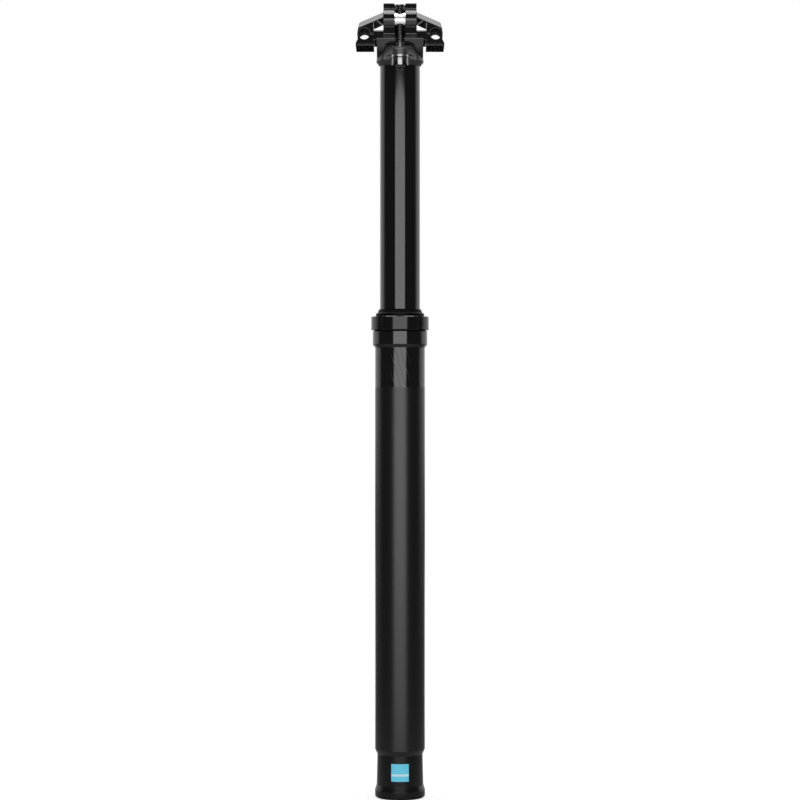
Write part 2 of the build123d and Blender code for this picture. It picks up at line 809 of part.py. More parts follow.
# Lower cradle: a rocker that turns in the head's trough, with a crossbar and a
# foot at each side that holds the lower half of a rail groove
lip_x = rail_spacing / 2 + rail_radius + lip_wall
rocker_x = rail_spacing / 2 - rocker_inset
foot_inner_x = rocker_x + foot_gap
foot_outer_x = lip_x + foot_flare
bar_end_x = foot_inner_x + bar_reach
half_parting = parting_gap / 2
with BuildPart() as lower_cradle:
    with BuildSketch(clamp_side):
        Circle(rocker_radius)
        with Locations((0, bar_top)):
            Rectangle(
                groove_length,
                2 * rocker_radius,
                align=(Align.CENTER, Align.MAX),
                mode=Mode.INTERSECT,
            )
    extrude(amount=rocker_x, both=True)
    with BuildSketch(clamp_front):
        with BuildLine():
            Polyline(
                (0, bar_top),
                (bar_end_x, bar_top),
                (bar_end_x, -half_parting),
                (lip_x, -half_parting),
                (lip_x - foot_waist_inset, -foot_waist_drop),
                (foot_outer_x, -foot_flare_drop),
                (foot_outer_x, -foot_drop),
                (foot_inner_x, -foot_drop),
                (foot_inner_x, -foot_notch_drop),
                (rocker_x, -foot_notch_drop),
                (rocker_x, -bar_underside_drop),
                (0, -bar_underside_drop),
                close=True,
            )
        make_face()
        mirror(about=Plane.YZ)
    extrude(amount=groove_length / 2, both=True)
    fillet(lower_cradle.edges().filter_by(Axis.X).group_by(Axis.Z)[-1], bar_edge_radius)
    chamfer(lower_cradle.edges().filter_by(Axis.X).group_by(Axis.Z)[0], foot_edge)
    with BuildSketch(clamp_front):
        with Locations((-rail_spacing / 2, 0), (rail_spacing / 2, 0)):
            Circle(rail_radius)
    extrude(amount=groove_length, both=True, mode=Mode.SUBTRACT)
lower_cradle.part.label = "lower_cradle"
export_step(lower_cradle.part, "parts/lower_cradle.step")


# The upper clamp's two wings, which arch out over the rails: bevelled on top at
# the front and the back
beam_width = 2 * (bolt_radius + bolt_swing_room + prong_wall)
with BuildPart() as wings:
    with BuildSketch(clamp_front):
        with BuildLine():
            Polyline(
                (0, wing_root_height),
                (beam_width / 2, wing_root_height),
                (lip_x - wing_shoulder_inset, wing_shoulder_height),
                (lip_x - wing_brow_inset, wing_brow_height),
                (lip_x, half_parting),
                (bar_end_x + parting_gap, half_parting),
                (bar_end_x + parting_gap, arch_end_height),
                (beam_width / 2, arch_root_height),
                (0, arch_root_height),
                close=True,
            )
        make_face()
        mirror(about=Plane.YZ)
    extrude(amount=groove_length / 2, both=True)
    for end_face in (wings.faces().sort_by(Axis.Y)[0], wings.faces().sort_by(Axis.Y)[-1]):
        top_faces = wings.faces().filter_by(lambda face: face.normal_at().Z > 0.4)
        brow = [edge for edge in end_face.edges() if edge in top_faces.edges()]
        chamfer(brow, wing_bevel_height, wing_bevel_depth, reference=end_face)
    across = wings.edges().filter_by(Axis.Y).group_by(Axis.X)
    fillet(across[2] + across[-3], wing_shoulder_radius)


# Upper clamp: a fore-and-aft beam whose two prongs at each end hold a cross nut
skirt_front_y = bolt_offset + skirt_front_reach
skirt_back_y = groove_length / 2 + skirt_gap
beam_underside = bar_top + beam_gap
prong_slot_width = 2 * ear_hole_radius
prong_slot_y = bolt_offset - slot_reach
with BuildPart() as upper_clamp:
    with BuildSketch(clamp_side):
        with BuildLine():
            Polyline(
                (0, crown_height),
                (-crown_length / 2, crown_height),
                (-crown_length / 2, crown_height - crown_face_height),
                (-bolt_offset + boss_radius / 2, cross_nut_height + boss_radius),
                (-bolt_offset, cross_nut_height + boss_radius),
                (-skirt_front_y, cross_nut_height),
                (-skirt_front_y, -skirt_drop),
                (-skirt_back_y, -skirt_drop),
                (-skirt_back_y, beam_underside),
                (0, beam_underside),
                close=True,
            )
        make_face()
        with Locations((-bolt_offset, cross_nut_height)):
            Circle(boss_radius)
        mirror(about=Plane.YZ)
    extrude(amount=beam_width / 2, both=True)
    fillet(upper_clamp.edges().filter_by(Axis.X).group_by(Axis.Z)[0], skirt_edge_radius)
    crown_ends = upper_clamp.edges().filter_by(Axis.X).group_by(Axis.Z)[-1]
    fillet(crown_ends, skirt_edge_radius)
    # Channel along the crown, and the slots that the bolts stand in
    with BuildSketch(Plane.XY.offset(rocker_z + crown_height)):
        Rectangle(prong_slot_width, 2 * (bolt_offset + boss_radius + overrun))
    extrude(amount=-crown_channel_depth, mode=Mode.SUBTRACT)
    with BuildSketch(clamp_front.offset(prong_slot_y)):
        Rectangle(prong_slot_width, 4 * crown_height)
    extrude(amount=bolt_offset + overrun, mode=Mode.SUBTRACT)
    with BuildSketch(clamp_front.offset(-prong_slot_y)):
        Rectangle(prong_slot_width, 4 * crown_height)
    extrude(amount=-bolt_offset - overrun, mode=Mode.SUBTRACT)
    add(wings.part)
    with BuildSketch(clamp_front):
        with Locations((-rail_spacing / 2, 0), (rail_spacing / 2, 0)):
            Circle(rail_radius)
    extrude(amount=groove_length, both=True, mode=Mode.SUBTRACT)
    with BuildSketch(clamp_side):
        with Locations((-bolt_offset, cross_nut_height), (bolt_offset, cross_nut_height)):
            Circle(cross_nut_radius + running_gap)
    extrude(amount=beam_width, both=True, mode=Mode.SUBTRACT)
upper_clamp.part.label = "upper_clamp"
export_step(upper_clamp.part, "parts/upper_clamp.step")


# Bolts, their washers and the round cross nuts, front and rear alike
washer_z = ear_underside_z - seat_gap - washer_thickness
bolt_head_z = washer_z - bolt_head_height
bolt_top_z = rocker_z + crown_height
for side, bolt_y in (("front", -bolt_offset), ("rear", bolt_offset)):
    with BuildPart() as bolt:
        with BuildSketch(Plane.XY.offset(bolt_head_z)):
            with Locations((0, bolt_y)):
                Circle(bolt_head_radius)
        extrude(amount=bolt_head_height)
        chamfer(bolt.edges().group_by(Axis.Z)[0], edge_break)
        with BuildSketch(Plane.XY.offset(washer_z)):
            with Locations((0, bolt_y)):
                Circle(bolt_radius)
        extrude(amount=bolt_top_z - washer_z)
        chamfer(bolt.edges().group_by(Axis.Z)[-1], edge_break)
        with BuildSketch(Plane.XY.offset(bolt_head_z)):
            with Locations((0, bolt_y)):
                RegularPolygon(socket_across_flats / 2, 6, major_radius=False)
        extrude(amount=socket_depth, mode=Mode.SUBTRACT)
    bolt.part.label = side + "_bolt"
    export_step(bolt.part, "parts/" + side + "_bolt.step")

    with BuildPart() as washer:
        with BuildSketch(Plane.XY.offset(washer_z)):
            with Locations((0, bolt_y)):
                Circle(washer_radius)
                Circle(bolt_radius + washer_play, mode=Mode.SUBTRACT)
        extrude(amount=washer_thickness)
    washer.part.label = side + "_washer"
    export_step(washer.part, "parts/" + side + "_washer.step")

    with BuildPart() as cross_nut:
        with BuildSketch(clamp_side):
            with Locations((bolt_y, cross_nut_height)):
                Circle(cross_nut_radius)
        extrude(amount=beam_width / 2 - cross_nut_recess, both=True)
        chamfer(cross_nut.edges(), edge_break)
        with BuildSketch(Plane.XY.offset(rocker_z + cross_nut_height)):
            with Locations((0, bolt_y)):
                Circle(bolt_radius + cross_nut_play)
        extrude(amount=2 * cross_nut_radius, both=True, mode=Mode.SUBTRACT)
    cross_nut.part.label = side + "_cross_nut"
    export_step(cross_nut.part, "parts/" + side + "_cross_nut.step")
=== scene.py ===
from math import atan, cos, pi, radians, sin

import bmesh
import bpy
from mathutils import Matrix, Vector


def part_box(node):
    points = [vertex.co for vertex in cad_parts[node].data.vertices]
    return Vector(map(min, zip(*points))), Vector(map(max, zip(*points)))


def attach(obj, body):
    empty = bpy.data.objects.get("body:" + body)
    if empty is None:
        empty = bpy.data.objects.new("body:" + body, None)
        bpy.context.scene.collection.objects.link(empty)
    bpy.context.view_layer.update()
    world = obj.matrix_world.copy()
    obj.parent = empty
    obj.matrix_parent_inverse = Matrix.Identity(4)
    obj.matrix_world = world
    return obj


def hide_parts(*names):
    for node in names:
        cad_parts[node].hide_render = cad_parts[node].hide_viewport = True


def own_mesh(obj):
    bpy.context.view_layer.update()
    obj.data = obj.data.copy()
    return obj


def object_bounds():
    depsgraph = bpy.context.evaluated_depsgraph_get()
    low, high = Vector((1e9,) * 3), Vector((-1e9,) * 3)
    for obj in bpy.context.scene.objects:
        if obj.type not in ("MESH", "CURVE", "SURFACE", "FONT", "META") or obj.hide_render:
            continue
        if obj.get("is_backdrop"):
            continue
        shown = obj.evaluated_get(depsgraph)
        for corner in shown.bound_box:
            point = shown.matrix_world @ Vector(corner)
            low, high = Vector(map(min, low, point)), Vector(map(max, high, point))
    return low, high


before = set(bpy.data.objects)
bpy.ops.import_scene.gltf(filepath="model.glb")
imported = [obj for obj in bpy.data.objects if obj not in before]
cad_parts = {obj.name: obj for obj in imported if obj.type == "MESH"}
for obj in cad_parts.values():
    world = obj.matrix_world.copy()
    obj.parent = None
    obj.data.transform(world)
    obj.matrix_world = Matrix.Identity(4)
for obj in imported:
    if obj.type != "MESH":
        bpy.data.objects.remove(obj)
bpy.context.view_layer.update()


# End piece: a cup turned from aluminium bar and anodised a satin black, screwed
# into the foot of the outer tube. It carries the release gear, and a small blue
# sticker faces the front.


def new_finish(name, colour, roughness, metallic=0.0, ior=1.5):
    """A material with one Principled shader. Returns it, its node tree and the shader."""
    material = bpy.data.materials.new(name)
    material.use_nodes = True
    shader = material.node_tree.nodes["Principled BSDF"]
    shader.inputs["Base Color"].default_value = (*colour, 1)
    shader.inputs["Roughness"].default_value = roughness
    shader.inputs["Metallic"].default_value = metallic
    shader.inputs["IOR"].default_value = ior
    return material, material.node_tree, shader


def put_on(material, *nodes):
    """Gives a material to every slot of some of the frame's nodes."""
    for node in nodes:
        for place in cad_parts[node].material_slots:
            place.material = material


def new_group(name, inputs, outputs):
    """An empty shader node group, and its two ends."""
    group = bpy.data.node_groups.new(name, "ShaderNodeTree")
    for label, value in inputs:
        socket = group.interface.new_socket(
            name=label, in_out="INPUT", socket_type="NodeSocketFloat"
        )
        socket.default_value = value
    for label, kind in outputs:
        group.interface.new_socket(name=label, in_out="OUTPUT", socket_type=kind)
    return group, group.nodes.new("NodeGroupInput"), group.nodes.new("NodeGroupOutput")


def feed(tree, socket, value):
    """Gives a socket its value: another socket, a number, or a colour of three parts."""
    if isinstance(value, bpy.types.NodeSocket):
        tree.links.new(value, socket)
    elif isinstance(value, tuple):
        socket.default_value = (*value, 1)
    else:
        socket.default_value = value


def source_of(socket):
    """The socket that feeds this one."""
    return socket.links[0].from_socket


def calculate(tree, operation, *values):
    """A math node whose values are sockets or numbers. Returns its output."""
    node = tree.nodes.new("ShaderNodeMath")
    node.operation = operation
    for socket, value in zip(node.inputs, values):
        feed(tree, socket, value)
    return node.outputs[0]


def noise(tree, scale, detail, stretch=(1, 1, 1), roughness=0.5):
    """Noise in the piece's own metres, stretched along its axes. Returns its value."""
    place = tree.nodes.new("ShaderNodeTexCoord")
    mapping = tree.nodes.new("ShaderNodeMapping")
    mapping.inputs["Scale"].default_value = stretch
    texture = tree.nodes.new("ShaderNodeTexNoise")
    texture.inputs["Detail"].default_value = detail
    texture.inputs["Roughness"].default_value = roughness
    feed(tree, texture.inputs["Scale"], scale)
    tree.links.new(place.outputs["Object"], mapping.inputs["Vector"])
    tree.links.new(mapping.outputs["Vector"], texture.inputs["Vector"])
    return texture.outputs["Fac"]


# Fine blasted grain under the anodising, with cloudy changes of gloss
cloud_scale = 60.0
fine_share = 0.5
grain, grain_in, grain_out = new_group(
    "blasted_grain",
    [("Grain Scale", 9000.0), ("Smoothest", 0.25), ("Roughest", 0.35)],
    [
        ("Roughness", "NodeSocketFloat"),
        ("Height", "NodeSocketFloat"),
        ("Clouds", "NodeSocketFloat"),
    ],
)
smooth_end = grain_in.outputs["Smoothest"]
fine = noise(grain, grain_in.outputs["Grain Scale"], detail=2.0)
clouds = noise(grain, cloud_scale, detail=4.0)
spread = calculate(grain, "SUBTRACT", grain_in.outputs["Roughest"], smooth_end)
cloudy_part = calculate(grain, "MULTIPLY", clouds, 1 - fine_share)
mixed = calculate(grain, "MULTIPLY_ADD", fine, fine_share, cloudy_part)
gloss = calculate(grain, "MULTIPLY_ADD", mixed, spread, smooth_end)
grain.links.new(gloss, grain_out.inputs["Roughness"])
grain.links.new(fine, grain_out.inputs["Height"])
grain.links.new(clouds, grain_out.inputs["Clouds"])

# Edges of a metal piece: a rounded normal, and a mask of where the coating thins
edge_samples = 6
edge_sharpness = 6.0
chip_scale = 700.0
edges, edges_in, edges_out = new_group(
    "eased_edges",
    [("Radius", 0.0003), ("Wear", 0.3)],
    [("Mask", "NodeSocketFloat"), ("Normal", "NodeSocketVector")],
)
rounded = edges.nodes.new("ShaderNodeBevel")
rounded.samples = edge_samples
edges.links.new(edges_in.outputs["Radius"], rounded.inputs["Radius"])
flat = edges.nodes.new("ShaderNodeNewGeometry")
agree = edges.nodes.new("ShaderNodeVectorMath")
agree.operation = "DOT_PRODUCT"
edges.links.new(rounded.outputs["Normal"], agree.inputs[0])
edges.links.new(flat.outputs["Normal"], agree.inputs[1])
bent = calculate(edges, "SUBTRACT", 1.0, agree.outputs["Value"])
sharpened = calculate(edges, "MULTIPLY", bent, edge_sharpness)
chips = noise(edges, chip_scale, detail=5.0, roughness=0.7)
limited = calculate(edges, "MINIMUM", calculate(edges, "MULTIPLY", sharpened, chips), 1.0)
worn_off = calculate(edges, "MULTIPLY", limited, edges_in.outputs["Wear"])
edges.links.new(worn_off, edges_out.inputs["Mask"])
edges.links.new(rounded.outputs["Normal"], edges_out.inputs["Normal"])


def place_group(tree, group, **values):
    """A group's node in a material, with its own values: underscores stand for spaces."""
    node = tree.nodes.new("ShaderNodeGroup")
    node.node_tree = group
    for label, value in values.items():
        node.inputs[label.replace("_", " ")].default_value = value
    return node


def grained(tree, shader, smoothest, roughest, **values):
    """Gives a shader the blasted grain's roughness. Returns the outputs of the group."""
    node = place_group(tree, grain, Smoothest=smoothest, Roughest=roughest, **values)
    tree.links.new(node.outputs["Roughness"], shader.inputs["Roughness"])
    return node.outputs


def coloured_mix(tree, factor, first, second):
    """Mixes two colours, each a tuple or a socket. Returns the colour socket."""
    node = tree.nodes.new("ShaderNodeMix")
    node.data_type = "RGBA"
    tree.links.new(factor, node.inputs[0])
    # The node has sockets for each kind of value: 6 and 7 take the two colours
    feed(tree, node.inputs[6], first)
    feed(tree, node.inputs[7], second)
    return node.outputs[2]


def bump(tree, shader, height, distance, normal=None):
    """Feeds a height, in metres when multiplied by distance, to the shader."""
    node = tree.nodes.new("ShaderNodeBump")
    node.inputs["Strength"].default_value = 1.0
    node.inputs["Distance"].default_value = distance
    tree.links.new(height, node.inputs["Height"])
    if normal is not None:
        tree.links.new(normal, node.inputs["Normal"])
    tree.links.new(node.outputs["Normal"], shader.inputs["Normal"])


def anodised(name, colour, worn, smoothest, roughest, wear,
             edge=0.0003, ior=1.5, grain_height=2e-6):
    """Anodised aluminium with blasted grain, eased edges and a little wear on them.
    Returns the material, its node tree and the shader."""
    material, tree, shader = new_finish(name, colour, smoothest, ior=ior)
    grains = grained(tree, shader, smoothest, roughest)
    rims = place_group(tree, edges, Radius=edge, Wear=wear)
    paint = coloured_mix(tree, rims.outputs["Mask"], colour, worn)
    tree.links.new(paint, shader.inputs["Base Color"])
    bump(tree, shader, grains["Height"], grain_height, normal=rims.outputs["Normal"])
    return material, tree, shader


def ramp(tree, value, start, end, kind="LINEAR"):
    """Nought at the start and one at the end, level beyond them. Returns the value."""
    node = tree.nodes.new("ShaderNodeMapRange")
    node.interpolation_type = kind
    node.inputs["From Min"].default_value = start
    node.inputs["From Max"].default_value = end
    tree.links.new(value, node.inputs["Value"])
    return node.outputs["Result"]


def band_mask(tree, value, low, high, edge):
    """One between low and high, with a soft edge that wide."""
    rise = ramp(tree, value, low - edge / 2, low + edge / 2)
    fall = ramp(tree, value, high + edge / 2, high - edge / 2)
    return calculate(tree, "MULTIPLY", rise, fall)


def own_place(tree):
    """The point's own coordinates on the piece, in metres, as three sockets."""
    place = tree.nodes.new("ShaderNodeTexCoord")
    parts = tree.nodes.new("ShaderNodeSeparateXYZ")
    tree.links.new(place.outputs["Object"], parts.inputs[0])
    return parts.outputs


print_edge = 0.0001
sticker_half = 0.0054
sticker_height = 0.0168
stripe_low = 0.0146
stripe_high = 0.0160
sticker_blue = (0.16, 0.70, 0.92)
sticker_white = (0.62, 0.90, 0.98)
end_finish, tree, shader = anodised(
    "end_piece_satin_black", colour=(0.005, 0.005, 0.0055), worn=(0.12, 0.12, 0.12),
    smoothest=0.20, roughest=0.30, wear=0.08, ior=1.36
)
x, y, z = own_place(tree)
facing = calculate(tree, "LESS_THAN", y, 0.0)
across = band_mask(tree, x, -sticker_half, sticker_half, print_edge)
upright = band_mask(
    tree, z, sticker_height - sticker_half, sticker_height + sticker_half, print_edge
)
sticker = calculate(tree, "MULTIPLY", calculate(tree, "MULTIPLY", across, upright), facing)
stripe = band_mask(tree, z, stripe_low, stripe_high, print_edge)
sticker_paint = coloured_mix(tree, stripe, sticker_blue, sticker_white)
paint = coloured_mix(tree, sticker, source_of(shader.inputs["Base Color"]), sticker_paint)
tree.links.new(paint, shader.inputs["Base Color"])
put_on(end_finish, "actuator_housing")


# Release gear in the end piece: a bare alloy lever on a steel dowel, the brass
# barrel that grips the cable, and the release pin with its return spring. Turned
# or drawn metal, left bare and lightly oiled.

cloud_shade = 0.72
tool_line_scale = 260.0
tool_line_stretch = (1, 1, 30)


def bare_metal(name, colour, smoothest, roughest, lines=0.0):
    """Bare metal with a cloudy shine, and with fine tool lines that high."""
    material, tree, shader = new_finish(name, colour, smoothest, metallic=1.0)
    grains = grained(tree, shader, smoothest, roughest)
    darker = tuple(cloud_shade * part for part in colour)
    cloudy = coloured_mix(tree, grains["Clouds"], colour, darker)
    tree.links.new(cloudy, shader.inputs["Base Color"])
    if lines:
        turned = noise(tree, tool_line_scale, detail=2.0, stretch=tool_line_stretch)
        bump(tree, shader, turned, lines)
    return material


steel = bare_metal(
    "oiled_steel", (0.56, 0.56, 0.55), smoothest=0.20, roughest=0.34, lines=4e-6
)
alloy = bare_metal(
    "bare_alloy", (0.72, 0.73, 0.75), smoothest=0.24, roughest=0.40, lines=5e-6
)
brass = bare_metal(
    "bare_brass", (0.74, 0.55, 0.27), smoothest=0.22, roughest=0.38, lines=4e-6
)
black_steel = bare_metal(
    "blackened_spring_steel", (0.07, 0.07, 0.08), smoothest=0.28, roughest=0.42
)
put_on(steel, "lever_pin", "release_pin", "rod_nut")
put_on(alloy, "actuator_lever")
put_on(brass, "cable_barrel", "guide_keys")
put_on(black_steel, "cartridge_clip")


# Return spring: four turns of steel wire on the release pin, between its button and
# the end piece's web. The wire lies flat for a half turn at each end.

wire_radius = 0.00025
spring_turns = 4
end_turns = 0.5
steps_round = 32
wire_sides = 10
wire_crease_degrees = 60


def finished_piece(name, shape, crease_degrees):
    """An object made of a bmesh, smooth but for the edges that bend by that many degrees."""
    bmesh.ops.recalc_face_normals(shape, faces=shape.faces)
    mesh = bpy.data.meshes.new(name)
    shape.to_mesh(mesh)
    shape.free()
    mesh.shade_smooth()
    mesh.set_sharp_from_angle(angle=radians(crease_degrees))
    piece = bpy.data.objects.new(name, mesh)
    bpy.context.scene.collection.objects.link(piece)
    return piece


def coil(name, low, high):
    """A compression spring that fills the box from low to high."""
    middle = (low + high) / 2
    coil_radius = (high.x - low.x) / 2 - wire_radius
    foot = low.z + wire_radius
    rise = high.z - low.z - 2 * wire_radius
    wire = bmesh.new()
    rings = []
    for step in range(spring_turns * steps_round + 1):
        turn = step / steps_round
        angle = 2 * pi * turn
        share = min(max((turn - end_turns) / (spring_turns - 2 * end_turns), 0), 1)
        outward = Vector((cos(angle), sin(angle), 0))
        centre = Vector((middle.x, middle.y, foot + rise * share)) + coil_radius * outward
        ring = []
        for side in range(wire_sides):
            turned = 2 * pi * side / wire_sides
            offset = cos(turned) * outward + sin(turned) * Vector((0, 0, 1))
            ring.append(wire.verts.new(centre + wire_radius * offset))
        rings.append(ring)
    for lower, upper in zip(rings, rings[1:]):
        for side in range(wire_sides):
            after = (side + 1) % wire_sides
            wire.faces.new((lower[side], lower[after], upper[after], upper[side]))
    wire.faces.new(rings[0])
    wire.faces.new(rings[-1])
    return finished_piece(name, wire, wire_crease_degrees)


spring_low, spring_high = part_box("return_spring")
spring = coil("return_coil", spring_low, spring_high)
spring.data.materials.append(steel)
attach(spring, "outer")
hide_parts("return_spring")
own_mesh(spring)


# Gas cartridge: a drawn alloy tube closed by a turned gland and cap, with two
# turned pistons. Its rod is ground steel and polished.

polished = bare_metal(
    "polished_steel", (0.78, 0.78, 0.78), smoothest=0.06, roughest=0.13, lines=1e-6
)
put_on(alloy, "cartridge_body", "cartridge_gland", "cartridge_cap", "rod_piston", "floating_piston")
put_on(polished, "piston_rod")


# Outer tube: drawn aluminium, blasted and anodised a matt black. Its head ring is
# polished, and a gloss band with slanted matt lines is printed just below the head,
# black on black.

print_low = 0.2536
print_high = 0.2779
lines_round = 28
line_slant = 90.0
line_share = 0.08
line_blur_share = 0.04
ring_low = 0.2802
ring_high = 0.2886
ring_blur = 0.0002
polished_roughness = 0.09


def value_mix(tree, factor, first, second):
    """Mixes two values, each a number or a socket. Returns the value socket."""
    node = tree.nodes.new("ShaderNodeMix")
    tree.links.new(factor, node.inputs[0])
    feed(tree, node.inputs[2], first)
    feed(tree, node.inputs[3], second)
    return node.outputs[0]


tube_finish, tree, shader = anodised(
    "outer_tube_matt_black", colour=(0.005, 0.005, 0.0055), worn=(0.10, 0.10, 0.10),
    smoothest=0.26, roughest=0.34, wear=0.08, grain_height=3e-6
)
x, y, z = own_place(tree)
turn = calculate(tree, "DIVIDE", calculate(tree, "ARCTAN2", y, x), 2 * pi)
round_tube = calculate(tree, "MULTIPLY", turn, lines_round)
slant = calculate(tree, "MULTIPLY_ADD", z, line_slant, round_tube)
between_lines = band_mask(
    tree, calculate(tree, "FRACT", slant), line_share, 1 - line_share, line_blur_share
)
in_band = band_mask(tree, z, print_low, print_high, print_edge)
printed = calculate(tree, "MULTIPLY", between_lines, in_band)
on_ring = band_mask(tree, z, ring_low, ring_high, ring_blur)
shiny = calculate(tree, "MAXIMUM", printed, on_ring)
matt = source_of(shader.inputs["Roughness"])
tree.links.new(value_mix(tree, shiny, matt, polished_roughness), shader.inputs["Roughness"])
put_on(tube_finish, "outer_tube")


# Collar nut: turned aluminium, anodised a gloss black, screwed over the tube's
# head with a pin spanner. A rubber ring seal lies under it.

nut_finish = anodised(
    "collar_gloss_black", colour=(0.005, 0.005, 0.0055), worn=(0.10, 0.10, 0.10),
    smoothest=0.08, roughest=0.14, wear=0.1, edge=0.0002, ior=1.39, grain_height=2.5e-7
)[0]
put_on(nut_finish, "collar_nut")


# Wiper seal and ring seal: moulded black rubber, a little dusty. It hardly shines,
# so that it looks darker than the metal round it.

dust_share = 0.12
clean_rubber = (0.002, 0.002, 0.002)
dusty_rubber = (0.014, 0.014, 0.013)
rubber, tree, shader = new_finish(
    "black_rubber", (0.005, 0.005, 0.005), roughness=0.55, ior=1.35
)
shader.inputs["Specular IOR Level"].default_value = 0.08
grains = grained(tree, shader, smoothest=0.30, roughest=0.42, Grain_Scale=5000.0)
dust = calculate(tree, "MULTIPLY", grains["Clouds"], dust_share)
dusty = coloured_mix(tree, dust, clean_rubber, dusty_rubber)
tree.links.new(dusty, shader.inputs["Base Color"])
bump(tree, shader, grains["Height"], distance=6e-6)
put_on(rubber, "wiper_seal", "collar_ring_seal")


# Bushings: split rings of pale bearing plastic, one in the tube's head and one on
# the stanchion's foot. The plastic is faintly speckled.

pale_speck = (0.60, 0.57, 0.48)
dark_speck = (0.46, 0.43, 0.36)
plastic, tree, shader = new_finish("bearing_plastic", (0.55, 0.52, 0.44), roughness=0.4)
grains = grained(tree, shader, smoothest=0.35, roughest=0.5, Grain_Scale=3000.0)
speckled = coloured_mix(tree, grains["Clouds"], pale_speck, dark_speck)
tree.links.new(speckled, shader.inputs["Base Color"])
put_on(plastic, "upper_bushing", "lower_bushing")


# Stanchion: a thin aluminium tube, ground, hard anodised and polished to a deep
# gloss black, with faint grinding lines round it.

gloss_black, tree, shader = new_finish(
    "stanchion_gloss_black", (0.004, 0.004, 0.0045), roughness=0.07
)
grained(tree, shader, smoothest=0.05, roughest=0.10, Grain_Scale=1500.0)
ground = noise(tree, scale=180.0, detail=3.0, stretch=(1, 1, 25))
bump(tree, shader, ground, distance=4e-7)
put_on(gloss_black, "stanchion")


# Clamp head: an aluminium forging, blasted and anodised to a soft dark sheen, with
# lightly rounded edges.

head_finish = anodised(
    "head_satin_black", colour=(0.022, 0.022, 0.023), worn=(0.18, 0.18, 0.18),
    smoothest=0.34, roughest=0.46, wear=0.25, edge=0.0006, ior=1.8, grain_height=4e-6
)[0]
put_on(head_finish, "head")


# Cradle and upper clamp: the same forged aluminium, but tumbled and anodised to a
# deeper gloss. The grooves that grip the saddle rails and the inner ends of the
# arches are blasted matt.

rail_x = 0.022
rail_z = 0.47075
groove_reach = 0.0037
arch_end_x = 0.0165
arch_band = 0.0003
arch_blur = 0.0001
sideways_share = 0.9
blasted_roughness = 0.8

clamp_finish, tree, shader = anodised(
    "clamp_gloss_black", colour=(0.004, 0.004, 0.0045), worn=(0.12, 0.12, 0.12),
    smoothest=0.05, roughest=0.09, wear=0.16, edge=0.0006, grain_height=2.5e-7
)
x, _, z = own_place(tree)
width = calculate(tree, "ABSOLUTE", x)
rail_side = calculate(tree, "SUBTRACT", width, rail_x)
rail_rise = calculate(tree, "SUBTRACT", z, rail_z)
rise_squared = calculate(tree, "MULTIPLY", rail_rise, rail_rise)
reach_squared = calculate(tree, "MULTIPLY_ADD", rail_side, rail_side, rise_squared)
groove = calculate(tree, "LESS_THAN", reach_squared, groove_reach**2)
surface = tree.nodes.new("ShaderNodeNewGeometry")
normal = tree.nodes.new("ShaderNodeSeparateXYZ")
tree.links.new(surface.outputs["Normal"], normal.inputs[0])
turned_aside = calculate(tree, "ABSOLUTE", normal.outputs["X"])
sideways = calculate(tree, "GREATER_THAN", turned_aside, sideways_share)
arch = band_mask(tree, width, arch_end_x - arch_band, arch_end_x + arch_band, arch_blur)
blasted = calculate(tree, "MAXIMUM", groove, calculate(tree, "MULTIPLY", arch, sideways))
shine = source_of(shader.inputs["Roughness"])
roughened = calculate(tree, "MULTIPLY_ADD", blasted, blasted_roughness, shine)
tree.links.new(roughened, shader.inputs["Roughness"])
put_on(clamp_finish, "lower_cradle", "upper_clamp")


# Cross nuts and washers: the nuts are cut from stainless round bar with a satin
# surface, and the washers are oiled steel.

stainless = bare_metal(
    "stainless_bar", (0.80, 0.80, 0.80), smoothest=0.36, roughest=0.46, lines=2e-6
)
put_on(stainless, "front_cross_nut", "rear_cross_nut")
put_on(steel, "front_washer", "rear_washer")


# Bolts: stainless socket screws with rolled threads. The head, with its hexagon
# socket, sits below the ear, and the thread passes up through the cross nut.

bolt_segments = 56
bolt_crease_degrees = 28
bolt_shank_radius = 0.003
bolt_head_height = 0.0053
head_chamfer = 0.0004
chamfer_middle_share = 0.3
socket_half_flats = 0.0025
socket_entry_radius = 0.003
socket_depth = 0.0032
socket_cone_depth = 0.003584
thread_pitch = 0.001
thread_root_radius = 0.00245
thread_length = 0.0236
tip_below_crown = 0.0025
weld_distance = 1e-7
# Each pair is a share of the pitch and how far up the flank the thread is there
thread_profile_shares = ((0.0, 0.0), (0.14, 0.0), (0.46, 1.0), (0.68, 1.0))


def hexagon_radius(angle):
    """The distance from the middle of the socket's hexagon to its side, at an angle."""
    return socket_half_flats / cos((angle + pi / 6) % (pi / 3) - pi / 6)


